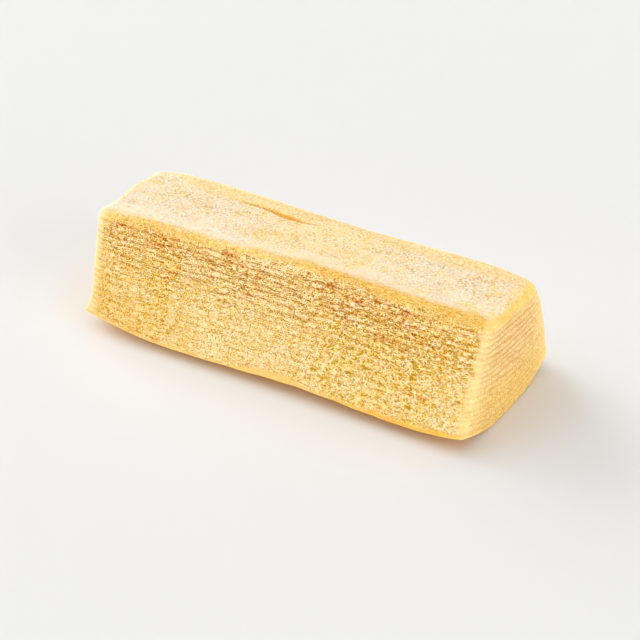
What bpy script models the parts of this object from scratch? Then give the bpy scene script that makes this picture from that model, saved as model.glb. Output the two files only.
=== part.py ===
"""A stick of baumkuchen: one eighth of a ring cake, cut lengthwise, lying on its browned outer skin.

Metres. X runs along the stick, -Y is the front cut, +Y the back cut and +Z is up. The layers are
arcs about one line above the stick, so the narrow inner skin is on top and the wide outer skin below.
The origin is the middle of the underside, on the flat strip that the soft cake rests on.
"""

import math

import bmesh
import bpy
from mathutils import Vector

# The ring that the stick was cut from
LAYER_CENTRE_HEIGHT = 0.064  # the layers' common centre line, above the rest plane
INNER_RADIUS = 0.0327  # to the pale inner skin, at mid length
OUTER_RADIUS = 0.0658  # to the browned outer skin, at mid length
FRONT_CUT_ANGLE = math.radians(22.75)  # front cut, from the upright through the centre line
BACK_CUT_ANGLE = math.radians(22.8)

# The stick
LENGTH = 0.1175  # between the end cuts
LEFT_OVERHANG = 0.0028  # how far the left end's upper edge stands out over its lower edge
RIGHT_OVERHANG = 0.0008
LEFT_SKEW = math.radians(1.6)  # turn of each end cut about the upright
RIGHT_SKEW = math.radians(-0.85)

# Hand-made unevenness
INNER_TAPER = -0.0009  # change of the inner radius from the middle to the right end
INNER_HOLLOW = 0.0011  # rise of the inner radius towards both ends
OUTER_TAPER = -0.0004
OUTER_LIFT = -0.0022  # fall of the outer radius close to both ends, where the skin turns up
OUTER_SWELL = 0.0018  # how much further out the outer skin is behind its front edge, at the ends
CUT_TAPER = math.radians(-0.8)  # change of the cuts' angle from the middle to the right end
CUT_FLARE = math.radians(0.7)  # widening of the cuts towards both ends
TOP_FLATNESS = 0.0019  # how much shallower the top's hollow is than the inner arc
TOP_END_FLATNESS = 0.0006  # how much shallower still it is at both ends
WAVE_LENGTH = 1.35  # of the edges' waves, in half lengths of the stick
BACK_WAVE = 0.00065  # height of the wave along the top's back edge
BACK_WAVE_DIP = 0.10  # where that edge is lowest, in half lengths from the middle
FRONT_WAVE = 0.0006  # depth of the wave along the lower front edge
FRONT_WAVE_SWELL = -0.50
BACK_RIDGE = 0.0005  # height of the raised strip along the top's back edge
RIDGE_START = 0.62  # where that strip begins, from the middle (0) to the back edge (1)

# The thin flap of outer skin that stands out at the left end
FLAP_LENGTH = 0.0020
FLAP_BACK_LENGTH = 0.0008  # what is left of it at the back corner
FLAP_ROOT = 0.90  # depth at which it starts, from the top (0) to the underside (1)

# Rounded edges
TOP_EDGE_RADIUS = 0.0020
LOW_FRONT_EDGE_RADIUS = 0.0008
LOW_BACK_EDGE_RADIUS = 0.0022

# Steps of the surface grid
STEPS_ALONG = 38
STEPS_ACROSS = 14
STEPS_DEEP = 14
EDGE_CROWDING = 0.90  # how much closer the steps lie near the edges, from 0 (even) to 1

CRUMB_COLOUR = (0.87, 0.60, 0.24, 1.0)
CRUMB_ROUGHNESS = 0.85


def smooth_step(low, high, value):
    """0 below low, 1 above high and a smooth rise between."""
    share = min(max((value - low) / (high - low), 0.0), 1.0)
    return share * share * (3.0 - 2.0 * share)


def crowded(share):
    """Moves a grid line at share, from -1 to 1, so that lines lie closer near the two edges."""
    quarter_turn = EDGE_CROWDING * math.pi / 2
    return math.sin(share * quarter_turn) / math.sin(quarter_turn)


def rounded_box(point, half_size, radius):
    """The point of a box with rounded edges that belongs to this point of the sharp box."""
    core = Vector(
        min(max(p, radius - h), h - radius) for p, h in zip(point, half_size)
    )
    outward = point - core
    return core + outward.normalized() * min(radius, outward.length)


def edge_radius(across, up):
    """Radius of the rounded edges. Across is -1 at the front and 1 at the back, up -1 at the underside."""
    back = (across + 1.0) / 2
    low = LOW_FRONT_EDGE_RADIUS + (LOW_BACK_EDGE_RADIUS - LOW_FRONT_EDGE_RADIUS) * back
    return low + (TOP_EDGE_RADIUS - low) * (up + 1.0) / 2


def inner_radius(along, across):
    """Radius of the inner skin. Less is higher, because the skin is the stick's top."""
    radius = INNER_RADIUS + INNER_TAPER * along + INNER_HOLLOW * along**2
    flatness = TOP_FLATNESS + TOP_END_FLATNESS * along**2
    radius -= flatness * (1.0 - across**2)
    back = smooth_step(RIDGE_START, 1.0, across)
    wave = math.cos(2.0 * math.pi * (along - BACK_WAVE_DIP) / WAVE_LENGTH)
    return radius - back * (BACK_RIDGE - BACK_WAVE * wave)


def outer_radius(along, across):
    """Radius of the outer skin, which is the stick's underside."""
    radius = OUTER_RADIUS + OUTER_TAPER * along + OUTER_LIFT * along**6
    front = smooth_step(0.2, 1.0, -across)
    wave = math.cos(2.0 * math.pi * (along - FRONT_WAVE_SWELL) / WAVE_LENGTH)
    swell = OUTER_SWELL * along**2 * smooth_step(-1.0, 0.9, across)
    return radius + front * FRONT_WAVE * wave + swell


def cut_angle(along, across):
    """Angle of a point about the centre line, from the front cut at across -1 to the back cut at 1."""
    cut = FRONT_CUT_ANGLE if across < 0 else BACK_CUT_ANGLE
    return across * (cut + CUT_TAPER * along + CUT_FLARE * along**2)


def flap(along, across, deep):
    """How far the outer skin stands out beyond the left end's cut."""
    length = FLAP_BACK_LENGTH + (FLAP_LENGTH - FLAP_BACK_LENGTH) * (1.0 - across) / 2
    root = max((deep - FLAP_ROOT) / (1.0 - FLAP_ROOT), 0.0)
    return length * root**2 * smooth_step(0.9, 1.0, -along)


def cake_point(along, across, deep):
    """Place of a point. Along and across run from -1 to 1, deep from 0 (inner skin) to 1 (outer skin)."""
    inner = inner_radius(along, across)
    radius = inner + (outer_radius(along, across) - inner) * deep
    angle = cut_angle(along, across)
    y = radius * math.sin(angle)
    z = max(LAYER_CENTRE_HEIGHT - radius * math.cos(angle), 0.0)
    near_end = abs(along) ** 3
    overhang, skew = (-LEFT_OVERHANG, LEFT_SKEW) if along < 0 else (RIGHT_OVERHANG, RIGHT_SKEW)
    x = along * LENGTH / 2 + near_end * (overhang * (1.0 - deep) - y * math.tan(skew))
    return Vector((x - flap(along, across, deep), y, z))


def grid_box():
    """A box from -1 to 1 each way whose faces are grids that share their edge points."""
    mesh = bmesh.new()
    bmesh.ops.create_cube(mesh, size=2.0)
    for axis, steps in enumerate((STEPS_ALONG, STEPS_ACROSS, STEPS_DEEP)):
        edges = [
            edge
            for edge in mesh.edges
            if abs(edge.verts[0].co[axis] - edge.verts[1].co[axis]) > 1.0
        ]
        bmesh.ops.subdivide_edges(mesh, edges=edges, cuts=steps - 1, use_grid_fill=True)
    return mesh


def shape_cake(mesh):
    """Bends the grid box into the stick and sets its underside's middle at the origin."""
    depth = OUTER_RADIUS - INNER_RADIUS
    width = (OUTER_RADIUS + INNER_RADIUS) / 2 * (FRONT_CUT_ANGLE + BACK_CUT_ANGLE)
    half_size = Vector((LENGTH / 2, width / 2, depth / 2))
    for vertex in mesh.verts:
        share = Vector(crowded(c) for c in vertex.co)
        sharp = Vector(s * h for s, h in zip(share, half_size))
        rounded = rounded_box(sharp, half_size, edge_radius(share.y, share.z))
        along, across, up = (r / h for r, h in zip(rounded, half_size))
        vertex.co = cake_point(along, across, (1.0 - up) / 2)
    middle = Vector(
        (min(v.co[axis] for v in mesh.verts) + max(v.co[axis] for v in mesh.verts)) / 2
        for axis in range(2)
    )
    bmesh.ops.translate(mesh, verts=mesh.verts, vec=(-middle.x, -middle.y, 0.0))
    bmesh.ops.recalc_face_normals(mesh, faces=mesh.faces)


def crumb_material():
    material = bpy.data.materials.new("cake_crumb")
    material.use_nodes = True
    surface = material.node_tree.nodes["Principled BSDF"]
    surface.inputs["Base Color"].default_value = CRUMB_COLOUR
    surface.inputs["Roughness"].default_value = CRUMB_ROUGHNESS
    surface.inputs["Metallic"].default_value = 0.0
    return material


def build_cake():
    mesh = grid_box()
    shape_cake(mesh)
    data = bpy.data.meshes.new("cake")
    mesh.to_mesh(data)
    mesh.free()
    data.shade_smooth()
    data.materials.append(crumb_material())
    cake = bpy.data.objects.new("cake", data)
    bpy.context.scene.collection.objects.link(cake)
    return cake


def main():
    for old in list(bpy.data.objects):
        bpy.data.objects.remove(old, do_unlink=True)
    build_cake()


main()
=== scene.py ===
import math
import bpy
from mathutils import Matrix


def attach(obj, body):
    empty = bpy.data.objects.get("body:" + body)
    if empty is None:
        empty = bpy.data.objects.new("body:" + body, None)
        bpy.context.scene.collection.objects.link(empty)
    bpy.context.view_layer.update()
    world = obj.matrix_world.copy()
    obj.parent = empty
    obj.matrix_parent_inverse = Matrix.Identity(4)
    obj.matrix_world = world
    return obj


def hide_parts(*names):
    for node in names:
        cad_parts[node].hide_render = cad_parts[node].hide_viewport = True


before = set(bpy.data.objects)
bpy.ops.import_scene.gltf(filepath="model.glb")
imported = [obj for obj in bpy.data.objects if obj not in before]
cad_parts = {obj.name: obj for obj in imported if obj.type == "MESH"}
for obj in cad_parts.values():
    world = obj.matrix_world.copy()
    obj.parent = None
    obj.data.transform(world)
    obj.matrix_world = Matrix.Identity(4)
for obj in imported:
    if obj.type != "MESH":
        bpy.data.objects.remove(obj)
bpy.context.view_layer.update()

from types import SimpleNamespace

import bpy
import numpy as np
from mathutils import Vector

MM = 0.001

# A stick of baumkuchen, one eighth of a ring cake cut lengthwise. In metres, except where a comment
# says mm. X runs along the stick, -Y is the front cut and +Z is up. Along, across and up are shares,
# from -1 to 1, of its length, width and depth.

# --- The stick's form, with the same sizes as the solid that it covers ---------------------------

LAYER_CENTRE_HEIGHT = 0.064  # the layers' common centre line, above the rest plane
INNER_RADIUS = 0.0327
OUTER_RADIUS = 0.0658
FRONT_CUT_ANGLE = math.radians(22.75)
BACK_CUT_ANGLE = math.radians(22.8)
LENGTH = 0.1175
LEFT_OVERHANG = 0.0028
RIGHT_OVERHANG = 0.0008
LEFT_SKEW = math.radians(1.6)
RIGHT_SKEW = math.radians(-0.85)
INNER_TAPER = -0.0009
INNER_HOLLOW = 0.0011
OUTER_TAPER = -0.0004
OUTER_LIFT = -0.0022
OUTER_SWELL = 0.0018
CUT_TAPER = math.radians(-0.8)
CUT_FLARE = math.radians(0.7)
TOP_FLATNESS = 0.0019
TOP_END_FLATNESS = 0.0006
WAVE_LENGTH = 1.35
BACK_WAVE = 0.00065
BACK_WAVE_DIP = 0.10
FRONT_WAVE = 0.0006
FRONT_WAVE_SWELL = -0.50
BACK_RIDGE = 0.0005
RIDGE_START = 0.62
FLAP_LENGTH = 0.0020
FLAP_BACK_LENGTH = 0.0008
FLAP_ROOT = 0.90
TOP_EDGE_RADIUS = 0.0020
LOW_FRONT_EDGE_RADIUS = 0.0008
LOW_BACK_EDGE_RADIUS = 0.0022

# Only the visible surface has these: its own corners and bulges
RIGHT_TOP_ROUNDING = 0.0020
BACK_LEFT_ROUNDING = 0.0026
RIGHT_LOW_EDGE_RADIUS = 0.0008  # the right end's lower edge is cut sharper
RIGHT_LOW_BACK_ROUNDING = 0.0008  # and its lower back corner is rounder
RIGHT_SETTLE = 0.35  # how much less than the left end's skin the right end's turns up
RIGHT_FOOT = 0.0006  # how far the right end's lower edge stands out
LEFT_FRONT_ROUNDING = 0.0014
LEFT_BULGE = 0.0006  # how far the left end's front edge stands out, which its rounding takes back
RIGHT_BULGE = 0.0011  # how far the right end swells out between its top and bottom, at its back corner

DEPTH = OUTER_RADIUS - INNER_RADIUS
MEAN_RADIUS = (OUTER_RADIUS + INNER_RADIUS) / 2
MEAN_WIDTH = MEAN_RADIUS * (FRONT_CUT_ANGLE + BACK_CUT_ANGLE)
HALF_SIZE = np.array((LENGTH / 2, MEAN_WIDTH / 2, DEPTH / 2))
LAYERS = 19

# The surface's grid
GRID_STEPS = (0.28 * MM, 0.45 * MM, 0.26 * MM)  # along, across and deep
EDGE_CROWDING = 0.45  # how much closer its lines lie near the edges, from 0 (even) to 1
MOST_TRIANGLES = 196000

# The map of the six sides, in mm
MAP_SIZE = 158.0
MAP_MARGIN = 1.5
MAP_GAP = 3.0


def smooth_step(low, high, value):
    """0 at low, 1 at high and a smooth change between. High may be the lesser of the two."""
    share = np.clip((value - low) / (high - low), 0.0, 1.0)
    return share * share * (3.0 - 2.0 * share)


def crowded(share):
    """Moves grid lines at share, from -1 to 1, so that they lie closer near the two edges."""
    quarter_turn = EDGE_CROWDING * math.pi / 2
    return np.sin(share * quarter_turn) / math.sin(quarter_turn)


def edge_radius(along, across, up):
    """Radius of the rounded edges."""
    back = (across + 1.0) / 2
    near_right = smooth_step(0.60, 0.90, along)
    near_left = smooth_step(0.80, 0.95, -along)
    low = LOW_FRONT_EDGE_RADIUS + (LOW_BACK_EDGE_RADIUS - LOW_FRONT_EDGE_RADIUS) * back
    low = low + (RIGHT_LOW_EDGE_RADIUS - low) * near_right * smooth_step(0.9, 0.3, across)
    low = low + RIGHT_LOW_BACK_ROUNDING * smooth_step(0.3, 0.9, across) * smooth_step(0.70, 0.92, along)
    high = TOP_EDGE_RADIUS + RIGHT_TOP_ROUNDING * smooth_step(0.80, 0.94, along)
    high = high + BACK_LEFT_ROUNDING * smooth_step(0.2, 0.8, across) * near_left
    left_front = smooth_step(0.1, -0.6, across) * near_left
    radius = low + (high - low) * (up + 1.0) / 2
    return radius + LEFT_FRONT_ROUNDING * left_front * smooth_step(-0.9, -0.3, up)


def inner_radius(along, across):
    """Radius of the inner skin. Less is higher, because the skin is the stick's top."""
    radius = INNER_RADIUS + INNER_TAPER * along + INNER_HOLLOW * along**2
    flatness = TOP_FLATNESS + TOP_END_FLATNESS * along**2
    radius = radius - flatness * (1.0 - across**2)
    back = smooth_step(RIDGE_START, 1.0, across)
    wave = np.cos(2.0 * math.pi * (along - BACK_WAVE_DIP) / WAVE_LENGTH)
    return radius - back * (BACK_RIDGE - BACK_WAVE * wave)


def outer_radius(along, across):
    """Radius of the outer skin, which is the stick's underside."""
    settled = RIGHT_SETTLE * smooth_step(-1.0, -0.5, across) * (along > 0)
    radius = OUTER_RADIUS + OUTER_TAPER * along + OUTER_LIFT * (1.0 - settled) * along**6
    front = smooth_step(0.2, 1.0, -across)
    wave = np.cos(2.0 * math.pi * (along - FRONT_WAVE_SWELL) / WAVE_LENGTH)
    swell = OUTER_SWELL * along**2 * smooth_step(-1.0, 0.9, across)
    return radius + front * FRONT_WAVE * wave + swell


def cut_angle(along, across):
    """Angle about the layers' centre line."""
    cut = np.where(across < 0, FRONT_CUT_ANGLE, BACK_CUT_ANGLE)
    return across * (cut + CUT_TAPER * along + CUT_FLARE * along**2)


def flap(along, across, deep):
    """How far the outer skin stands out beyond the left end's cut."""
    length = FLAP_BACK_LENGTH + (FLAP_LENGTH - FLAP_BACK_LENGTH) * (1.0 - across) / 2
    root = np.maximum((deep - FLAP_ROOT) / (1.0 - FLAP_ROOT), 0.0)
    return length * root**2 * smooth_step(0.9, 1.0, -along)


def cake_points(along, across, deep):
    """Places in the stick, their radius and their angle. Deep is from 0 (inner skin) to 1 (outer)."""
    inner = inner_radius(along, across)
    radius = inner + (outer_radius(along, across) - inner) * deep
    angle = cut_angle(along, across)
    y = radius * np.sin(angle)
    z = np.maximum(LAYER_CENTRE_HEIGHT - radius * np.cos(angle), 0.0)
    left = along < 0
    overhang = np.where(left, -LEFT_OVERHANG, RIGHT_OVERHANG)
    skew = np.tan(np.where(left, LEFT_SKEW, RIGHT_SKEW))
    x = along * LENGTH / 2 + np.abs(along) ** 3 * (overhang * (1.0 - deep) - y * skew)
    x = x - flap(along, across, deep)
    left_bulge = LEFT_BULGE * smooth_step(0.85, 1.0, -along) * smooth_step(0.2, -0.8, across)
    x = x - left_bulge * smooth_step(0.85, 0.6, deep)
    right_bulge = RIGHT_BULGE * (smooth_step(0.90, 1.0, along) * smooth_step(-1.0, 1.0, across))
    x = x + right_bulge * smooth_step(0.0, 0.3, deep) * smooth_step(0.95, 0.4, deep)
    foot = smooth_step(0.90, 1.0, along) * smooth_step(-1.0, -0.2, across)
    x = x + RIGHT_FOOT * foot * smooth_step(0.35, 0.90, deep)
    return np.stack((x, y, z), axis=1), radius, angle


# --- Building node trees ---------------------------------------------------------------------------


class Wire:
    """A node's output. Arithmetic on wires adds Math nodes to their tree."""

    def __init__(self, tree, socket):
        self.tree = tree
        self.socket = socket

    def math(self, operation, *others):
        node = self.tree.nodes.new("ShaderNodeMath")
        node.operation = operation
        for socket, value in zip(node.inputs, (self, *others)):
            plug(self.tree, socket, value)
        return Wire(self.tree, node.outputs[0])

    def __add__(self, other):
        return self.math("ADD", other)

    def __sub__(self, other):
        return self.math("SUBTRACT", other)

    def __mul__(self, other):
        return self.math("MULTIPLY", other)

    def flipped(self):
        """1 minus the value."""
        return self * -1.0 + 1.0

    def at_most(self, limit):
        return self.math("MINIMUM", limit)

    def at_least(self, limit):
        return self.math("MAXIMUM", limit)


def plug(tree, socket, value):
    """Links a wire to the socket, or sets the socket to a plain value."""
    if isinstance(value, Wire):
        tree.links.new(value.socket, socket)
    else:
        socket.default_value = value


def add_node(tree, kind, inputs=None, **settings):
    """A new node with these settings, and with wires or plain values at the named inputs."""
    node = tree.nodes.new(kind)
    for name, value in settings.items():
        setattr(node, name, value)
    for name, value in (inputs or {}).items():
        plug(tree, node.inputs[name], value)
    return node


def rise(wire, low, high, start=0.0, end=1.0):
    """A smooth change from start to end as the wire goes from low to high."""
    node = add_node(
        wire.tree,
        "ShaderNodeMapRange",
        {"Value": wire, "From Min": low, "From Max": high, "To Min": start, "To Max": end},
        interpolation_type="SMOOTHSTEP",
    )
    return Wire(wire.tree, node.outputs["Result"])


def with_steps(base, wire, *steps):
    """The base plus smooth steps. Each gives where on the wire it starts and ends, and its height."""
    for start, end, height in steps:
        base = base + rise(wire, start, end, 0.0, height)
    return base


def vector_math(tree, operation, *values, scale=None):
    node = tree.nodes.new("ShaderNodeVectorMath")
    node.operation = operation
    for socket, value in zip(node.inputs, values):
        plug(tree, socket, value)
    if scale is not None:
        plug(tree, node.inputs["Scale"], scale)
    return Wire(tree, node.outputs[0])


SEED_SHIFT = (7.3, 3.1, 5.7)  # how many grains each seed is away from the one before


def grain_place(place, size, seed):
    """The place, measured in grains of that size each way and shifted for the seed."""
    counted = vector_math(place.tree, "DIVIDE", place, size)
    shift = vector_math(place.tree, "SCALE", SEED_SHIFT, scale=seed)
    return vector_math(place.tree, "ADD", counted, shift)


def parts_of(vector):
    node = add_node(vector.tree, "ShaderNodeSeparateXYZ", {"Vector": vector})
    return [Wire(vector.tree, socket) for socket in node.outputs]


def noise(place, size, seed, detail=2.0, roughness=0.5):
    """Soft noise about 0.5. Its grains' size is in mm: along the stick, outwards and round the ring."""
    node = add_node(
        place.tree,
        "ShaderNodeTexNoise",
        {
            "Vector": grain_place(place, size, seed),
            "Scale": 1.0,
            "Detail": detail,
            "Roughness": roughness,
        },
    )
    return Wire(place.tree, node.outputs[0])


def tree_with(name, kind, inputs, outputs):
    """An empty node tree with named sockets. Returns the tree, its inputs as wires and its output node."""
    tree = bpy.data.node_groups.new(name, kind)
    for label, socket_type, default in inputs:
        socket = tree.interface.new_socket(label, in_out="INPUT", socket_type=socket_type)
        if default is not None:
            socket.default_value = default
    for label, socket_type in outputs:
        tree.interface.new_socket(label, in_out="OUTPUT", socket_type=socket_type)
    entry = tree.nodes.new("NodeGroupInput")
    wires = {label: Wire(tree, entry.outputs[label]) for label, _, _ in inputs}
    return tree, wires, tree.nodes.new("NodeGroupOutput")


# --- Patterns that the relief and the colours share ----------------------------------------------

TEXTURE_SOCKETS = [
    ("Grain Size", "NodeSocketVector"),
    ("Pit Size", "NodeSocketVector"),
    ("Pit Level", "NodeSocketFloat"),
    ("Line Width", "NodeSocketFloat"),
    ("Pore Size", "NodeSocketVector"),
    ("Dash Size", "NodeSocketVector"),
    ("Speck Size", "NodeSocketVector"),
    ("Dot Size", "NodeSocketVector"),
    ("Seed", "NodeSocketFloat"),
]
# Sizes in mm: along the stick, outwards through the layers, round the ring
TEXTURE = {
    "Grain Size": (0.66, 0.52, 0.60),
    "Pit Size": (1.05, 0.72, 0.90),
    "Pit Level": 0.61,  # the openness above which the crumb has a pit
    "Line Width": 0.34,  # in layers
    "Pore Size": (0.54, 0.55, 0.80),
    "Dash Size": (1.8, 0.32, 1.6),
    "Speck Size": (0.78, 0.52, 0.70),
    "Dot Size": (0.44, 0.33, 0.42),
    "Seed": 4.0,
}
TEXTURE_NAMES = ("Grain", "Pits", "Line", "Pores", "Streaks", "Dashes", "Specks", "Dots")
LIMITS = ("across", "below", "above", "from_cut", "from_end")


def crumb_texture(place, layer, inputs):
    """The crumb's and the skin's patterns, by the names in TEXTURE_NAMES."""
    seed = inputs["Seed"]
    openness = noise(place, inputs["Pit Size"], seed + 3, 2.0, 0.55)
    wobble = noise(place, (16.0, 4.5, 12.0), seed + 5) * 1.6 + noise(place, (2.6, 1.0, 2.6), seed + 6) * 0.5
    swing = (layer + wobble).math("PINGPONG", 0.5)  # 0 where two layers meet
    width = inputs["Line Width"] * noise(place, (7.0, 2.0, 5.0), seed + 7) * 2.0
    crowds = noise(place, (9.0, 4.0, 6.0), seed + 10, 2.0) - 0.5
    return {
        "Grain": noise(place, inputs["Grain Size"], seed, 3.0, 0.66),
        "Pits": rise(openness, inputs["Pit Level"], inputs["Pit Level"] + 0.09),
        "Line": rise(swing, width, 0.0) * rise(layer, 0.8, 1.8),
        "Pores": noise(place, inputs["Pore Size"], seed + 9, 1.0) + crowds * 0.35,
        "Streaks": noise(place, (22.0, 0.9, 16.0), seed + 12, 2.0),
        "Dashes": noise(place, inputs["Dash Size"], seed + 20, 1.0),
        "Specks": noise(place, inputs["Speck Size"], seed + 21, 1.0),
        "Dots": noise(place, inputs["Dot Size"], seed + 24, 1.0),
    }


def zone_masks(place, across, below, above, from_cut, from_end):
    """Where each kind of surface shows. The distances are in mm from the skins, the cuts and the ends."""
    right = parts_of(place)[0]  # mm to the right of the stick's middle
    ragged = noise(place, (5.0, 2.4, 4.0), 15, 3.0, 0.6) - 0.5
    slow = noise(place, (16.0, 6.0, 9.0), 16, 2.0) - 0.5

    # The pale inner skin, which rolls over the top's edges, less far at the right
    round_cut = with_steps(
        from_cut - below + ragged * 4.0 + slow * 5.0,
        right,
        (-10.0, 50.0, -1.6),
        (-36.0, -22.0, 0.8),
        (-14.0, 6.0, -1.4),
        (16.0, 36.0, 0.6),
    )
    round_cut = round_cut + rise(across, 0.3, 0.9) * 3.0
    round_end = from_end - below + ragged * 2.0 + slow * 2.0
    cream = rise(round_cut, -0.4, 4.4) * rise(round_end, -1.2, 3.0)

    # The raised strip along the top's back edge
    left_narrowing = rise(right, -52.0, -40.0, 0.24, 0.0)
    narrow = with_steps(left_narrowing, right, (-12.0, -4.0, 0.2), (12.0, 20.0, -0.2))
    ridge = rise(across - narrow + ragged * 0.35 + slow * 0.2, 0.56, 0.68)

    # The outer skin's smooth edge, which is widest at mid length and at the right
    left_thickness = rise(right, -40.0, 0.0, 0.3, 0.4)
    thick = with_steps(left_thickness, right, (15.0, 45.0, 0.7), (-11.0, -1.0, 1.0), (5.0, 15.0, -1.2))
    crust = rise(above - thick + ragged * 1.6 + slow * 1.6, 1.3, 0.2) * rise(from_end, 0.0, 2.5, 0.2, 1.0)

    # The ends, which reach a little round their corners
    low_reach = rise(below, 12.0, 26.0, 0.0, 1.2) * rise(right, -20.0, 20.0)
    reach = rise(right, -20.0, 20.0, 3.4, 3.2) + low_reach
    end = rise(from_end + ragged * 5.0 + slow * 3.0, reach, 1.2)

    # The dense golden band just under the inner skin
    depth = with_steps(rise(right, -24.0, 0.0, 2.7, 1.1), right, (18.0, 32.0, 1.1))
    band = rise(below - depth + ragged * 5.0 + slow * 3.0, 1.4, -1.2)

    crumb = cream.flipped() * crust.flipped() * end.flipped() * (band * -0.6 + 1.0)
    return {"Cream": cream, "Ridge": ridge, "Crust": crust, "End": end, "Band": band, "Crumb": crumb}


# --- Relief ----------------------------------------------------------------------------------------

DEPTHS = {
    "Grain Depth": 0.45 * MM,
    "Pit Depth": 0.40 * MM,
    "Speck Depth": 0.12 * MM,
    "Line Depth": 0.14 * MM,
    "Pore Depth": 0.10 * MM,
    "Hole Depth": 0.8 * MM,
    "Crease Depth": 0.8 * MM,
    "Swell": 0.5 * MM,
}


def named_attribute(tree, name, data_type="FLOAT"):
    """What the mesh's points keep under that name, in a Geometry Nodes tree."""
    node = add_node(tree, "GeometryNodeInputNamedAttribute", {"Name": name}, data_type=data_type)
    return Wire(tree, next(s for s in node.outputs if s.enabled and s.name == "Attribute"))


def finish_tree(tree, geometry, material, exit_node):
    """Ends a tree: whatever it made becomes plain geometry of that material."""
    whole = add_node(tree, "GeometryNodeRealizeInstances", {"Geometry": geometry})
    painted = add_node(
        tree,
        "GeometryNodeSetMaterial",
        {"Geometry": Wire(tree, whole.outputs["Geometry"]), "Material": material},
    )
    tree.links.new(painted.outputs["Geometry"], exit_node.inputs["Geometry"])


def block_tree():
    """A box from -1 to 1 each way, with a grid of points on every side."""
    tree, wires, exit_node = tree_with(
        "cake_block",
        "GeometryNodeTree",
        [
            ("Points Along", "NodeSocketInt", 3),
            ("Points Across", "NodeSocketInt", 3),
            ("Points Deep", "NodeSocketInt", 3),
            ("Material", "NodeSocketMaterial", None),
        ],
        [("Geometry", "NodeSocketGeometry")],
    )
    cube = add_node(
        tree,
        "GeometryNodeMeshCube",
        {
            "Size": (2.0, 2.0, 2.0),
            "Vertices X": wires["Points Along"],
            "Vertices Y": wires["Points Across"],
            "Vertices Z": wires["Points Deep"],
        },
    )
    finish_tree(tree, Wire(tree, cube.outputs["Mesh"]), wires["Material"], exit_node)
    return tree


def relief_tree():
    """Grain, pits, layer grooves, pores and a slow unevenness, pressed into the smooth stick."""
    tree, wires, exit_node = tree_with(
        "crumb_relief",
        "GeometryNodeTree",
        [("Geometry", "NodeSocketGeometry", None)]
        + [(name, kind, None) for name, kind in TEXTURE_SOCKETS]
        + [(name, "NodeSocketFloat", None) for name in DEPTHS]
        + [("Material", "NodeSocketMaterial", None)],
        [("Geometry", "NodeSocketGeometry")],
    )
    place = named_attribute(tree, "place", "FLOAT_VECTOR")
    limits = {name: named_attribute(tree, name) for name in LIMITS}
    texture = crumb_texture(place, named_attribute(tree, "layer"), wires)
    zone = zone_masks(place, **limits)
    grain = texture["Grain"] - 0.5
    slow = noise(place, (14.0, 9.0, 11.0), 13, 3.0) - 0.5
    corner_groove = rise(limits["from_end"] + limits["from_cut"], 3.5, 1.5, 1.0, 2.6)
    hole = rise(named_attribute(tree, "hole") + grain * 1.2, 0.25, 0.70)
    sunk = (
        grain * wires["Grain Depth"] * (zone["Crumb"] * -0.8 - 0.2)
        + texture["Pits"] * wires["Pit Depth"] * zone["Crumb"]
        + rise(texture["Specks"], 0.56, 0.68) * wires["Speck Depth"] * zone["Crumb"]
        + texture["Line"] * wires["Line Depth"] * zone["Cream"].flipped() * corner_groove
        + rise(texture["Pores"], 0.62, 0.71) * wires["Pore Depth"] * zone["Cream"]
        + hole * wires["Hole Depth"]
        + named_attribute(tree, "crease") * wires["Crease Depth"]
        + slow * wires["Swell"]
    )
    normal = Wire(tree, tree.nodes.new("GeometryNodeInputNormal").outputs["Normal"])
    inward = vector_math(tree, "SCALE", normal, scale=sunk * -1.0)
    moved = add_node(
        tree, "GeometryNodeSetPosition", {"Geometry": wires["Geometry"], "Offset": inward}
    )
    finish_tree(tree, Wire(tree, moved.outputs["Geometry"]), wires["Material"], exit_node)
    return tree


def apply_tree(source, tree, values, name):
    """A new plain mesh object: the source with the node tree applied."""
    modifier = source.modifiers.new("shape", "NODES")
    modifier.node_group = tree
    for item in tree.interface.items_tree:
        if item.in_out == "INPUT" and item.name in values:
            modifier[item.identifier] = values[item.name]
    graph = bpy.context.evaluated_depsgraph_get()
    data = bpy.data.meshes.new_from_object(source.evaluated_get(graph), depsgraph=graph)
    data.name = name
    source.modifiers.remove(modifier)
    made = bpy.data.objects.new(name, data)
    bpy.context.scene.collection.objects.link(made)
    return made


# --- Colours ---------------------------------------------------------------------------------------


def tone(red, green, blue):
    """A linear colour from one that is named on the usual 0 to 255 scale."""
    def linear(v):
        v = v / 255
        return v / 12.92 if v <= 0.04045 else ((v + 0.055) / 1.055) ** 2.4
    return (linear(red), linear(green), linear(blue), 1.0)


# Three tones together stand for a pattern's low, middle and high values

# The cut faces
YELLOW_CRUMB = (tone(252, 229, 185), tone(250, 220, 156), tone(246, 208, 110))
LOW_CRUMB = (tone(254, 230, 184), tone(252, 221, 158), tone(248, 209, 114))
TOASTED_CRUMB = (tone(253, 231, 198), tone(250, 218, 166), tone(245, 202, 118))
PALE_CRUMB = tone(254, 236, 200)  # at the middle of the stick
# Painted shade deep in the crumb's pits, golden in yellow crumb and browner in toasted crumb
YELLOW_PIT_SHADE = tone(204, 156, 12)
TOASTED_PIT_SHADE = tone(180, 112, 14)
FLECK = tone(255, 236, 180)  # the tips of the fine grain
# Painted shade, a saturated gold, deep in the holes on the front cut
HOLE_SHADE = tone(236, 186, 44)
RUST = tone(226, 148, 52)
BAND_TONES = (tone(236, 184, 92), tone(246, 208, 122), tone(252, 224, 158))

# Shades, which a colour is multiplied by
PAINTED_PORE_SHADE = tone(158, 112, 36)  # painted shade at the bottom of the fine grain's pores
PAINTED_PORE_RING_SHADE = tone(252, 230, 132)  # painted golden shade round those bottoms
DASH_SHADE = tone(206, 152, 82)  # short strokes along the layers, and the layers' lines
BAND_SHADE = tone(243, 229, 174)  # the golden band's right half and the front's lower left
PORE_RING_SHADE_ON_SKIN = tone(226, 188, 124)  # painted shade round the skin's pores
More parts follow.
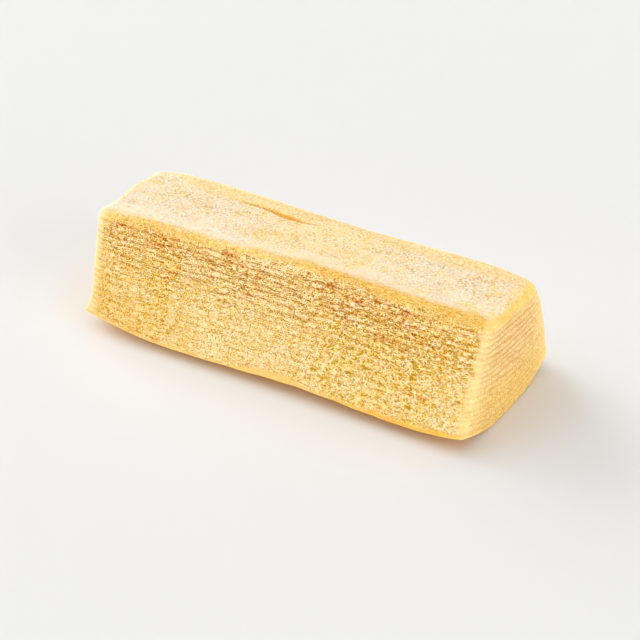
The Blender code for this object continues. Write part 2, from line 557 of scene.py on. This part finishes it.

# The inner skin
SKIN_TONES = (tone(232, 209, 174), tone(245, 227, 198), tone(254, 243, 224))
SKIN_YELLOW = tone(249, 219, 146)
# Painted shade in the skin's pores
PORE_SHADE_ON_SKIN = tone(178, 128, 58)
PALE_SKIN = tone(247, 236, 212)  # at its front left
RIDGE_TONES = (tone(226, 190, 122), tone(243, 214, 158), tone(252, 234, 194))
RIDGE_FRONT = tone(243, 202, 120)
# Painted shade along the fold beside the raised strip
CREASE_SHADE = tone(234, 168, 20)
BACK_EDGE = tone(252, 236, 188)

# The outer skin
CRUST_TONES = (tone(226, 160, 60), tone(241, 189, 86), tone(250, 211, 126))
PALE_CRUST = tone(246, 208, 138)
BROWNED = tone(248, 164, 50)  # the underside

# The ends
END_TONES = (tone(206, 162, 92), tone(224, 188, 124), tone(238, 208, 150))
LOW_END_TONES = (tone(203, 150, 70), tone(223, 183, 102), tone(235, 199, 122))
END_LINE = tone(198, 138, 70)
CORNER = tone(250, 227, 164)
LEFT_TONES = (tone(232, 182, 76), tone(245, 203, 104), tone(251, 221, 144))
# Painted light: the pale glow where light shines through the left end's thin front edge
LEFT_RIM_GLOW = tone(241, 214, 164)
LEFT_CRUST = tone(244, 200, 100)

CRUMB_SPREAD = (0.36, 0.64)  # the tints at which the crumb's first and last tones are reached
SKIN_SPREAD = (0.35, 0.65)

CAKE_ROUGHNESS = 0.85
CAKE_SPECULAR = 0.04
GLOW = 0.5  # how much of the light passes through the crumb
GLOW_REACH = 3.0 * MM
GLOW_COLOUR_REACH = (1.0, 0.35, 0.10)  # shares of that reach for red, green and blue
BUMP_DEPTH = 0.18 * MM


def ramp(wire, tones, low=0.30, high=0.70):
    """The first tone where the wire is low or less, the last where it is high or more."""
    node = wire.tree.nodes.new("ShaderNodeValToRGB")
    stops = node.color_ramp.elements
    stops[0].position, stops[0].color = low, tones[0]
    stops[1].position, stops[1].color = high, tones[-1]
    for index, colour in enumerate(tones[1:-1], 1):
        stop = stops.new(low + (high - low) * index / (len(tones) - 1))
        stop.color = colour
    plug(wire.tree, node.inputs["Fac"], wire)
    return Wire(wire.tree, node.outputs["Color"])


# Where a Mix node keeps its share, its two colours and the colour that it puts out
MIX_INPUTS = (0, 6, 7)
MIX_OUTPUT = 2


def blend(share, first, second, blend_type="MIX"):
    """The first colour with this share of the second."""
    node = add_node(share.tree, "ShaderNodeMix", data_type="RGBA", blend_type=blend_type)
    for index, value in zip(MIX_INPUTS, (share, first, second)):
        plug(share.tree, node.inputs[index], value)
    return Wire(share.tree, node.outputs[MIX_OUTPUT])


def darken(share, colour, shade=PAINTED_PORE_SHADE):
    """The colour with this share of a shade on it; unless another is given, the shade is painted pore
    shade.
    """
    return blend(share, colour, shade, "MULTIPLY")


def shader_attribute(tree, name, output="Fac"):
    """What the mesh's points keep under that name, in a material."""
    node = add_node(tree, "ShaderNodeAttribute", attribute_name=name)
    return Wire(tree, node.outputs[output])


def texture_group():
    """The patterns of crumb_texture as a group for the material."""
    tree, wires, exit_node = tree_with(
        "crumb_texture",
        "ShaderNodeTree",
        [("Place", "NodeSocketVector", None), ("Layer", "NodeSocketFloat", None)]
        + [(name, kind, None) for name, kind in TEXTURE_SOCKETS],
        [(name, "NodeSocketFloat") for name in TEXTURE_NAMES],
    )
    for name, wire in crumb_texture(wires["Place"], wires["Layer"], wires).items():
        plug(tree, exit_node.inputs[name], wire)
    return tree


def surface_values(tree):
    """What the cake's colours are worked out from, as wires."""
    place = shader_attribute(tree, "place", "Vector")
    limits = {name: shader_attribute(tree, name) for name in LIMITS}
    group = add_node(tree, "ShaderNodeGroup", node_tree=texture_group())
    plug(tree, group.inputs["Place"], place)
    plug(tree, group.inputs["Layer"], shader_attribute(tree, "layer"))
    for name, value in TEXTURE.items():
        group.inputs[name].default_value = value
    texture = {socket.name: Wire(tree, socket) for socket in group.outputs}

    s = SimpleNamespace(place=place, texture=texture, zone=zone_masks(place, **limits), **limits)
    s.grain = texture["Grain"]
    s.line = texture["Line"]
    s.right = parts_of(place)[0]
    s.upper = rise(s.below, 24.0, 8.0)
    s.left = rise(s.right, 0.0, -1.0)
    s.front_left = s.left * rise(s.across, 0.2, -0.2)
    s.patches = noise(place, (9.0, 2.6, 9.0), 41, 3.0, 0.6) - 0.5
    s.near_left = rise(s.from_end + s.patches * 4.0, 6.0, 2.5) * s.left
    s.low = rise(s.below + s.patches * 12.0, 16.0, 26.0)

    # Toasted crumb lies towards the inner skin, less of it at the right end
    hue = noise(place, (1.6, 1.0, 1.3), 43, 2.0) - 0.5
    toasted = rise(s.below + s.patches * 26.0, 17.0, 3.0) * rise(s.right, 52.0, 30.0, 0.5, 1.0)
    s.toasted = (toasted + hue * 2.2).at_most(1.0).at_least(0.0)

    # The tint goes up and down with clumps of crumb and, towards the inner skin, with the layers
    s.clump = noise(place, (1.6, 1.15, 1.4), 44, 1.0) - 0.5
    s.dim = s.line * (s.upper * 0.11 + 0.02) - (texture["Streaks"] - 0.5) * (s.upper * 0.24 + 0.06)
    slow_tint = (noise(place, (5.0, 3.4, 4.0), 45, 1.0) - 0.5) * 0.45
    s.tint = s.clump + slow_tint + 0.5 + s.dim * 0.6
    return s


def band_colour(s):
    """The dense golden band just under the inner skin."""
    strokes = noise(s.place, (1.8, 0.6, 0.9), 50, 2.0) - 0.5
    colour = ramp(strokes * 0.5 + (s.grain - 0.5) * 0.5 + (s.tint - 0.5) * 0.5 + 0.5, BAND_TONES)
    return darken(rise(s.right, -4.0, 10.0) * 0.5, colour, BAND_SHADE)


def add_fine_grain(s, colour):
    """Pale tips, strokes along the layers, and painted shade in the grain's hollows, in its pores, round
    them and in pits.
    """
    depth = (s.upper * 0.26 + 0.64) * rise(s.right, 56.0, 40.0, 0.7, 1.0)
    depth = depth * (s.zone["Band"] * -0.6 + 1.0) * (s.near_left * -0.35 + 1.0)
    dots = s.texture["Dots"] + s.clump * 0.10 + s.line * 0.03 - 0.006
    dashes = rise(s.texture["Dashes"] + s.line * 0.09 + s.clump * 0.06 - 0.012, 0.56, 0.66)
    colour = blend(rise(dots, 0.52, 0.34) * 0.6 * depth, colour, FLECK)
    # Painted shade: in the grain's hollows, a golden ring round each pore, and the pores' dark bottoms
    colour = darken(rise(s.grain - s.dim, 0.58, 0.38) * 0.10, colour)
    colour = darken(rise(dots, 0.42, 0.60) * depth * 0.85, colour, PAINTED_PORE_RING_SHADE)
    colour = darken(rise(dots, 0.55, 0.67) * depth, colour)
    colour = darken(dashes * (s.upper * 0.62 + 0.15) * depth, colour, DASH_SHADE)
    colour = darken(s.line * (s.upper * 0.06 + 0.10) * depth, colour, DASH_SHADE)
    open_crumb = rise(s.right, 0.0, 25.0) * rise(s.below, 4.0, 10.0) * rise(s.below, 30.0, 18.0) * 0.035
    pits = rise(s.texture["Specks"] + open_crumb, 0.61, 0.69).at_least(s.texture["Pits"])
    # Painted shade deep in the open pits
    pit = blend(s.toasted, YELLOW_PIT_SHADE, TOASTED_PIT_SHADE)
    return blend(pits * (open_crumb * 8.0 + 0.6), colour, pit)


def crumb_colour(s, band):
    """The long cuts: yellow crumb, toasted towards the inner skin, with rust-coloured marks, and holes with
    painted shade.
    """
    colour = blend(s.low, ramp(s.tint, YELLOW_CRUMB, *CRUMB_SPREAD), ramp(s.tint, LOW_CRUMB, *CRUMB_SPREAD))
    colour = blend(s.toasted, colour, ramp(s.tint, TOASTED_CRUMB, *CRUMB_SPREAD))
    middle = rise(s.right, -36.0, -18.0) * rise(s.right, 24.0, -2.0)
    colour = blend(middle * 0.3, colour, PALE_CRUMB)
    rust = shader_attribute(s.place.tree, "rust") * rise(s.tint, 0.28, 0.50)
    colour = blend(rust, colour, RUST)
    colour = blend(s.near_left * 0.7, colour, ramp(s.tint, LEFT_TONES, *CRUMB_SPREAD))
    colour = darken(rise(s.right, -16.0, -44.0) * s.low * 0.5, colour, BAND_SHADE)
    colour = add_fine_grain(s, blend(s.zone["Band"], colour, band))
    # Painted shade in the holes
    hole = rise(shader_attribute(s.place.tree, "hole") + (s.grain - 0.5) * 1.2, 0.35, 0.60)
    return blend(hole, colour, HOLE_SHADE)


def end_colour(s, band):
    """The ends, with the layers' brown lines and a pale front corner."""
    even = (s.grain - 0.5) * 0.8 + (s.tint - 0.5) * 0.35 + 0.5
    colour = blend(rise(s.below, 14.0, 26.0), ramp(even, END_TONES), ramp(even, LOW_END_TONES))
    colour = blend(s.front_left * rise(s.from_cut, 8.0, 3.0), colour, ramp(even, LEFT_TONES))
    colour = blend(rise(s.texture["Dots"], 0.50, 0.36) * 0.3, colour, FLECK)
    # Painted shade in the pores of the ends
    colour = darken(rise(s.texture["Dots"], 0.50, 0.70) * (s.left * 0.3 + 0.35), colour)

    strength = rise(s.below, 26.0, 8.0, 0.45, 1.0) * rise(s.across, 0.9, -0.2, 0.6, 1.0)
    strength = strength * rise(s.from_cut, 0.0, 5.0, 0.7, 1.0)
    strength = strength * rise(s.patches, -0.25, 0.10, 0.45, 1.0) * rise(s.below, 2.0, 5.0)
    colour = blend(strength * s.line, colour, END_LINE)

    colour = blend(rise(s.below + s.patches * 4.0, 4.0, 1.0), colour, band)
    colour = blend(rise(s.from_cut, 10.0, 1.0) * rise(s.right, 0.0, 1.0) * 0.35, colour, CORNER)
    corner = rise(s.from_end - s.from_cut, -2.8, 0.2) * rise(s.below, 0.5, 3.0)
    return blend(corner * rise(s.patches, -0.2, 0.1, 0.15, 0.55), colour, CORNER)


def ridge_colour(s):
    """The raised strip along the top's back edge."""
    colour = blend(rise(s.zone["Ridge"], 1.0, 0.4) * 0.7, ramp(s.grain, RIDGE_TONES), RIDGE_FRONT)
    return blend(rise(s.across, 0.88, 0.96), colour, BACK_EDGE)


def skin_colour(s):
    """The inner skin: cream with yellow stretches, the raised strip, and painted shade in its pores and its
    crease.
    """
    speckled = rise(s.across, -0.75, -0.1, 0.5, 1.0)
    slow = noise(s.place, (2.2, 3.0, 3.8), 49) + noise(s.place, (8.0, 3.0, 9.0), 52, 1.0) * 0.5 - 0.75
    flecks = (s.grain - 0.5) * (speckled * 0.6 + 0.15)
    colour = ramp(flecks + s.patches * 0.25 + 0.5, SKIN_TONES, *SKIN_SPREAD)

    middle = rise(s.right, -24.0, -8.0) * rise(s.right, 26.0, 12.0)
    colour = blend(middle * speckled * 0.45, colour, SKIN_YELLOW)
    colour = blend(rise(s.across, -0.25, -0.7) * rise(s.right, 10.0, -10.0) * 0.6, colour, PALE_SKIN)
    left_gold = rise(s.right, -30.0, -10.0, 0.5, 0.8)
    golden = with_steps(left_gold, s.right, (18.0, 34.0, -0.5), (46.0, 52.0, 0.5))
    colour = blend(rise(slow, -0.12, 0.26) * speckled * golden, colour, SKIN_YELLOW)
    mottles = rise(noise(s.place, (4.0, 3.0, 5.0), 47, 2.0), 0.56, 0.66)
    mottled = mottles * speckled * golden.at_least(0.7)
    streaks = rise(noise(s.place, (4.5, 3.0, 1.8), 48, 2.0), 0.47, 0.60)
    streaked = streaks * rise(s.right, 20.0, 38.0) * rise(s.across, -0.3, -0.6)
    colour = blend((mottled * 0.6).at_least(streaked), colour, SKIN_YELLOW)

    colour = blend(s.zone["Ridge"], colour, ridge_colour(s))
    pores = s.texture["Pores"]
    pored = s.zone["Ridge"] * -0.3 + 0.55
    # Painted shade in and round the skin's pores
    colour = darken(rise(pores + slow * 0.10, 0.50, 0.64) * speckled * pored, colour, PORE_RING_SHADE_ON_SKIN)
    colour = blend(rise(pores, 0.62, 0.72) * speckled * pored * 0.55, colour, PORE_SHADE_ON_SKIN)
    # Painted shade along the fold
    crease = (shader_attribute(s.place.tree, "crease") * 1.5).at_most(1.0)
    return blend(crease * rise(s.grain, 0.64, 0.48), colour, CREASE_SHADE)


def crust_colour(s):
    """The outer skin's edge, paler except at the right."""
    colour = ramp(s.grain * 0.5 + s.patches * 0.5 + 0.25, CRUST_TONES)
    colour = blend(rise(s.right, 30.0, 12.0) * 0.5, colour, PALE_CRUST)
    return blend(rise(s.from_end, 7.0, 2.0) * s.front_left, colour, LEFT_CRUST)


def cake_colour(s):
    """All the kinds of surface, each over the ones before it."""
    band = band_colour(s)
    colour = blend(s.zone["End"], crumb_colour(s, band), end_colour(s, band))
    # Painted light: a pale glow along the left end's front edges, with the layer lines showing through
    rim_glow = rise(s.from_end + s.from_cut + (s.grain - 0.5) * 2.5, 4.0, 2.0) * s.front_left
    colour = blend(rim_glow * (s.line * -0.9 + 0.9), colour, LEFT_RIM_GLOW)
    colour = blend(s.zone["Crust"], colour, crust_colour(s))
    colour = blend(s.zone["Cream"], colour, skin_colour(s))
    under = s.from_cut.at_most(s.from_end) - s.above
    return blend(rise(under, 1.5, 4.5) * rise(s.above, 2.0, 0.5), colour, BROWNED)


def cake_bump(s):
    """What is finer than the mesh: the grain's and the strokes' edges, and the layer lines."""
    strokes = rise(s.texture["Specks"], 0.56, 0.68) + rise(s.texture["Dashes"], 0.58, 0.70)
    fine = s.grain - strokes * 0.35
    height = fine * (s.zone["Crumb"] * 0.85 + 0.15) - s.line * s.zone["Cream"].flipped() * 0.15
    bump = add_node(
        height.tree, "ShaderNodeBump", {"Height": height, "Strength": 1.0, "Distance": BUMP_DEPTH}
    )
    return Wire(height.tree, bump.outputs["Normal"])


def cake_material():
    material = bpy.data.materials.new("cake_surface")
    material.use_nodes = True
    tree = material.node_tree
    surface = tree.nodes["Principled BSDF"]
    s = surface_values(tree)
    plug(tree, surface.inputs["Base Color"], cake_colour(s))
    plug(tree, surface.inputs["Normal"], cake_bump(s))
    surface.inputs["Roughness"].default_value = CAKE_ROUGHNESS
    surface.inputs["Specular IOR Level"].default_value = CAKE_SPECULAR
    surface.inputs["Subsurface Weight"].default_value = GLOW
    surface.inputs["Subsurface Radius"].default_value = GLOW_COLOUR_REACH
    surface.inputs["Subsurface Scale"].default_value = GLOW_REACH
    return material


# --- The cake --------------------------------------------------------------------------------------

# Marks on the front cut, in mm: along the stick, below the top, half length, half height
HOLES = [
    (41.5, 27.4, 1.2, 0.47),
    (26.9, 21.2, 0.64, 0.42),
    (37.0, 15.4, 0.56, 0.51),
    (40.4, 15.9, 0.48, 0.68),
    (40.7, 19.7, 0.72, 0.68),
    (37.5, 19.9, 0.8, 0.42),
    (46.9, 8.6, 0.56, 0.51),
    (42.3, 9.0, 0.48, 0.51),
    (51.2, 11.1, 0.48, 0.42),
    (54.7, 22.5, 0.56, 0.42),
    (48.4, 18.4, 0.56, 0.42),
    (19.1, 22.4, 0.56, 0.38),
    (23.1, 24.2, 0.56, 0.34),
    (13.3, 26.5, 0.96, 0.3),
    (16.1, 27.9, 0.96, 0.26),
]
RUST_SPOTS = [
    (-50.9, 2.9, 1.8, 0.6),
    (-39.3, 2.3, 1.4, 0.6),
    (-35.0, 2.9, 2.0, 0.7),
    (-18.2, 3.0, 2.2, 0.7),
    (13.2, 3.4, 1.6, 0.8),
    (11.2, 5.2, 1.2, 0.6),
    (21.6, 4.9, 1.7, 0.9),
    (26.7, 3.0, 1.3, 0.8),
    (35.6, 3.6, 1.4, 0.6),
    (44.6, 24.1, 1.8, 0.5),
]
# Dark seams on the front cut, in mm: along the stick, below the top, half width
DARK_SEAMS = [
    [(-46.9, 6.3, 0.35), (-27.6, 5.6, 0.35)],
    [(21.2, 11.0, 0.35), (31.1, 12.5, 0.35), (36.4, 12.9, 0.35), (42.2, 12.7, 0.35)],
]
# The crease beside the raised strip, in mm: along the stick, behind the top's middle, half width
CREASE_PATH = [
    (-31.0, 12.4, 0.6),
    (-22.1, 13.0, 0.8),
    (-17.7, 12.3, 1.3),
    (-14.0, 11.2, 2.0),
    (-11.6, 11.2, 1.8),
    (-8.0, 10.6, 0.8),
    (-2.5, 12.0, 0.6),
    (1.5, 12.6, 0.5),
]
SIDE_DEPTH = 0.5  # a mark on one side of the box reaches this far round its edges, in mm


def spots(along, level, marks):
    """1 inside the oval marks and 0 outside them."""
    found = np.zeros(len(along))
    for middle_along, middle_level, half_long, half_high in marks:
        reach = np.hypot((along - middle_along) / half_long, (level - middle_level) / half_high)
        found = np.maximum(found, smooth_step(1.3, 0.6, reach))
    return found


def near_path(along, level, path):
    """1 on the path and 0 beyond the half width that its points give. It fades at its two ends."""
    found = np.zeros(len(along))
    for start, end in zip(path, path[1:]):
        step = np.subtract(end, start)
        share = (along - start[0]) * step[0] + (level - start[1]) * step[1]
        share = np.clip(share / (step[:2] @ step[:2]), 0.0, 1.0)
        gap = np.hypot(along - start[0] - share * step[0], level - start[1] - share * step[1])
        found = np.maximum(found, smooth_step(1.0, 0.0, gap / (start[2] + share * step[2])))
    reach = (along - path[0][0]) / (path[-1][0] - path[0][0])
    return found * smooth_step(-0.05, 0.3, reach) * smooth_step(1.05, 0.6, reach)


def store(data, name, kind, values):
    """Keeps values at the mesh's points under that name."""
    attribute = data.attributes.new(name, kind, "POINT")
    key = "vector" if kind == "FLOAT_VECTOR" else "value"
    attribute.data.foreach_set(key, np.asarray(values, np.float32).ravel())


def read_points(data, name):
    """The three numbers that each point keeps under that name."""
    values = np.empty(len(data.vertices) * 3, np.float32)
    data.attributes[name].data.foreach_get("vector", values)
    return values.reshape(-1, 3)


def rounded_box(share):
    """The box's points at these shares of its half size, with sharp and with rounded edges, and the way
    that they face."""
    sharp = share * HALF_SIZE
    radius = edge_radius(*share.T)[:, None]
    core = np.clip(sharp, radius - HALF_SIZE, HALF_SIZE - radius)
    outward = sharp - core
    reach = np.linalg.norm(outward, axis=1, keepdims=True)
    facing = outward / np.maximum(reach, 1e-9)
    return sharp, core + facing * np.minimum(radius, reach), facing


def store_places(data, flat, deep, across):
    """Stores how far each point lies from the skins, cuts and ends, in mm, and whether a mark covers it.
    Flat holds the points' places on the box with sharp edges."""
    half = HALF_SIZE / MM
    x, y, z = flat.T
    below = half[2] - z
    from_cut = half[1] - np.abs(y)
    on_front = (y < 0) & (from_cut < SIDE_DEPTH)
    on_top = below < SIDE_DEPTH
    seams = [near_path(x, below, seam) for seam in DARK_SEAMS]
    rust = np.maximum.reduce([spots(x, below, RUST_SPOTS), *seams])
    values = {
        "layer": deep * LAYERS,
        "across": across,
        "below": below,
        "above": half[2] + z,
        "from_cut": from_cut,
        "from_end": half[0] - np.abs(x),
        "hole": spots(x, below, HOLES) * on_front,
        "rust": rust * on_front,
        "crease": near_path(x, y, CREASE_PATH) * on_top,
    }
    for name, value in values.items():
        store(data, name, "FLOAT", value)


def shape_block(block):
    """Bends the block's points into the stick and stores where each lies in the cake."""
    data = block.data
    share = crowded(read_points(data, "position").astype(float))
    sharp, rounded, facing = rounded_box(share)
    along, across, up = (rounded / HALF_SIZE).T
    deep = (1.0 - up) / 2
    points, ring_radius, angle = cake_points(along, across, deep)
    points[:, :2] -= (points[:, :2].min(0) + points[:, :2].max(0)) / 2
    data.vertices.foreach_set("co", points.astype(np.float32).ravel())

    arc = angle * MEAN_RADIUS
    store(data, "place", "FLOAT_VECTOR", np.stack((points[:, 0], ring_radius, arc), 1) / MM)
    store(data, "facing", "FLOAT_VECTOR", facing)
    store(data, "flat", "FLOAT_VECTOR", sharp / MM)
    store_places(data, sharp / MM, deep, across)
    data.update()


def thin_out(piece, most):
    """Merges the smoothest triangles until at most this many are left."""
    triangles = sum(len(p.vertices) - 2 for p in piece.data.polygons)
    modifier = piece.modifiers.new("thin", "DECIMATE")
    modifier.ratio = most / triangles
    modifier.use_collapse_triangulate = True
    graph = bpy.context.evaluated_depsgraph_get()
    data = bpy.data.meshes.new_from_object(piece.evaluated_get(graph), depsgraph=graph)
    piece.modifiers.remove(modifier)
    data.name = piece.name
    piece.data = data


def set_on_floor(piece):
    """Lifts whatever the relief pushed below the rest plane."""
    place = read_points(piece.data, "position")
    place[:, 2] = np.maximum(place[:, 2], 0.0)
    piece.data.vertices.foreach_set("co", place.ravel())
    piece.data.update()


def side_corners(half):
    """The lower left corner, in mm, of each of the box's six sides on the map, by axis and way."""
    corners = {}
    lower = MAP_MARGIN
    for axis, way, height in ((1, -1, half[2]), (1, 1, half[2]), (2, 1, half[1]), (2, -1, half[1])):
        corners[axis, way] = (MAP_MARGIN, lower)
        lower += 2 * height + MAP_GAP
    column = MAP_MARGIN + 2 * half[0] + MAP_GAP
    corners[0, -1] = (column, MAP_MARGIN)
    corners[0, 1] = (column, MAP_MARGIN + 2 * half[1] + MAP_GAP)
    return corners


def lay_out(piece):
    """Gives the piece a map of its own, with its six sides next to each other at one scale."""
    data = piece.data
    half = HALF_SIZE / MM
    flat = read_points(data, "flat")
    facing = read_points(data, "facing")
    faces = np.empty(len(data.loops), np.int32)
    data.loops.foreach_get("vertex_index", faces)
    faces = faces.reshape(-1, 3)
    toward = facing[faces].mean(1)
    side = np.abs(toward).argmax(1)
    outward = np.take_along_axis(toward, side[:, None], 1)[:, 0] > 0
    places = np.zeros((len(faces), 3, 2), np.float32)
    for (axis, way), corner in side_corners(half).items():
        first, second = ((2, 1), (0, 2), (0, 1))[axis]
        chosen = (side == axis) & (outward == (way > 0))
        point = flat[faces[chosen]]
        past = half[axis] - way * point[..., axis]  # how far round an edge, on the next side
        share = np.abs(point) / half
        by_first = share[..., first] > share[..., second]
        across = point[..., first] + np.copysign(past * by_first, point[..., first])
        up = point[..., second] + np.copysign(past * ~by_first, point[..., second])
        across = across * (way if axis == 2 else -way)
        places[chosen, :, 0] = corner[0] + half[first] + across
        places[chosen, :, 1] = corner[1] + half[second] + up
    layer = data.uv_layers.new(name="OFBake")
    layer.data.foreach_set("uv", (places / MAP_SIZE).ravel())


def build_cake():
    material = cake_material()
    holder = bpy.data.objects.new("holder", bpy.data.meshes.new("holder"))
    bpy.context.scene.collection.objects.link(holder)
    counts = [int(round(2 * half / step)) + 1 for half, step in zip(HALF_SIZE, GRID_STEPS)]
    grid = dict(zip(("Points Along", "Points Across", "Points Deep"), counts))
    block = apply_tree(holder, block_tree(), {**grid, "Material": material}, "block")
    shape_block(block)
    relief = {**TEXTURE, **DEPTHS, "Material": material}
    cake = apply_tree(block, relief_tree(), relief, "layered_cake")
    bpy.data.objects.remove(holder)
    bpy.data.objects.remove(block)
    thin_out(cake, MOST_TRIANGLES)
    set_on_floor(cake)
    lay_out(cake)
    cake.data.shade_smooth()
    return cake


# --- Floor, light and camera ----------------------------------------------------------------------

FLOOR_HALF_SIZE = 3.0
FLOOR_COLOUR = (0.81, 0.81, 0.805, 1.0)
FLOOR_ROUGHNESS = 0.7
FLOOR_SPECULAR = 0.1

CAMERA_AZIMUTH = math.radians(31.0)
CAMERA_ELEVATION = math.radians(33.5)
CAMERA_DISTANCE = 0.52
CAMERA_TARGET = Vector((-4.5, 11.15, 0.0)) * MM
SENSOR_WIDTH = 36.0  # mm
FOCAL_LENGTH = 103.9  # mm
NEAREST_SEEN = 0.01
FARTHEST_SEEN = 20.0

LOW_LIGHT = 4.2  # a ring of soft light round the floor, from the horizon up to LOW_LIGHT_TOP
LOW_LIGHT_TOP = 0.17  # as the sine of its elevation
HIGH_LIGHT = 1.03  # a soft light from above HIGH_LIGHT_BASE
HIGH_LIGHT_BASE = 0.71
LIGHT_EDGE = 0.03  # each of the two fades out from this far within its limit to this far past it
AMBIENT = (1.0, 1.0, 1.0, 1.0)
BACKDROP = (0.90, 0.90, 0.90, 1.0)
LAMP_SOFTNESS = math.radians(50.0)
LAMPS = {  # azimuth, elevation, strength
    "lamp_back": (CAMERA_AZIMUTH + math.radians(225.0), math.radians(20.0), 1.91),
    "lamp_right": (CAMERA_AZIMUTH + math.radians(45.0), math.radians(20.0), 1.03),
    "lamp_left": (CAMERA_AZIMUTH + math.radians(270.0), math.radians(45.0), 0.64),
}


def build_floor():
    half = FLOOR_HALF_SIZE
    corners = [(-half, -half, 0), (half, -half, 0), (half, half, 0), (-half, half, 0)]
    data = bpy.data.meshes.new("floor")
    data.from_pydata(corners, [], [(0, 1, 2, 3)])
    floor = bpy.data.objects.new("floor", data)
    bpy.context.scene.collection.objects.link(floor)
    material = bpy.data.materials.new("pale_floor")
    material.use_nodes = True
    surface = material.node_tree.nodes["Principled BSDF"]
    surface.inputs["Base Color"].default_value = FLOOR_COLOUR
    surface.inputs["Roughness"].default_value = FLOOR_ROUGHNESS
    surface.inputs["Specular IOR Level"].default_value = FLOOR_SPECULAR
    data.materials.append(material)
    return floor


def aim(thing, target):
    direction = Vector(target) - thing.location
    thing.rotation_euler = direction.to_track_quat("-Z", "Y").to_euler()


def away_from(azimuth, elevation):
    """The direction from the cake to a place round it. Azimuth 0 is in front and a quarter turn at the
    right end."""
    flat = math.cos(elevation)
    return Vector((math.sin(azimuth) * flat, -math.cos(azimuth) * flat, math.sin(elevation)))


def build_world():
    """Soft light from low and from above, and a plain backdrop that only the camera sees."""
    world = bpy.data.worlds.new("studio")
    world.use_nodes = True
    tree = world.node_tree
    ambient = tree.nodes["Background"]
    ambient.inputs["Color"].default_value = AMBIENT
    direction = add_node(tree, "ShaderNodeTexCoord")
    height = parts_of(Wire(tree, direction.outputs["Generated"]))[2]
    low = rise(height, LOW_LIGHT_TOP + LIGHT_EDGE, LOW_LIGHT_TOP - LIGHT_EDGE, 0.0, LOW_LIGHT)
    high = rise(height, HIGH_LIGHT_BASE - LIGHT_EDGE, HIGH_LIGHT_BASE + LIGHT_EDGE, 0.0, HIGH_LIGHT)
    plug(tree, ambient.inputs["Strength"], low + high)
    backdrop = add_node(tree, "ShaderNodeBackground", {"Color": BACKDROP})
    seen = add_node(tree, "ShaderNodeLightPath")
    mixed = add_node(tree, "ShaderNodeMixShader")
    tree.links.new(seen.outputs["Is Camera Ray"], mixed.inputs[0])
    tree.links.new(ambient.outputs[0], mixed.inputs[1])
    tree.links.new(backdrop.outputs[0], mixed.inputs[2])
    tree.links.new(mixed.outputs[0], tree.nodes["World Output"].inputs["Surface"])
    bpy.context.scene.world = world


def build_lamps():
    for name, (azimuth, elevation, strength) in LAMPS.items():
        data = bpy.data.lights.new(name, "SUN")
        data.energy = strength
        data.angle = LAMP_SOFTNESS
        lamp = bpy.data.objects.new(name, data)
        lamp.location = away_from(azimuth, elevation)
        aim(lamp, (0.0, 0.0, 0.0))
        bpy.context.scene.collection.objects.link(lamp)


def build_camera():
    data = bpy.data.cameras.new("camera")
    data.sensor_width = SENSOR_WIDTH
    data.lens = FOCAL_LENGTH
    data.clip_start = NEAREST_SEEN
    data.clip_end = FARTHEST_SEEN
    camera = bpy.data.objects.new("camera", data)
    camera.location = CAMERA_TARGET + away_from(CAMERA_AZIMUTH, CAMERA_ELEVATION) * CAMERA_DISTANCE
    aim(camera, CAMERA_TARGET)
    bpy.context.scene.collection.objects.link(camera)
    bpy.context.scene.camera = camera


cake = build_cake()
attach(cake, "root")
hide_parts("cake")
build_floor()
build_world()
build_lamps()
build_camera()
bpy.context.scene.view_settings.view_transform = "Standard"
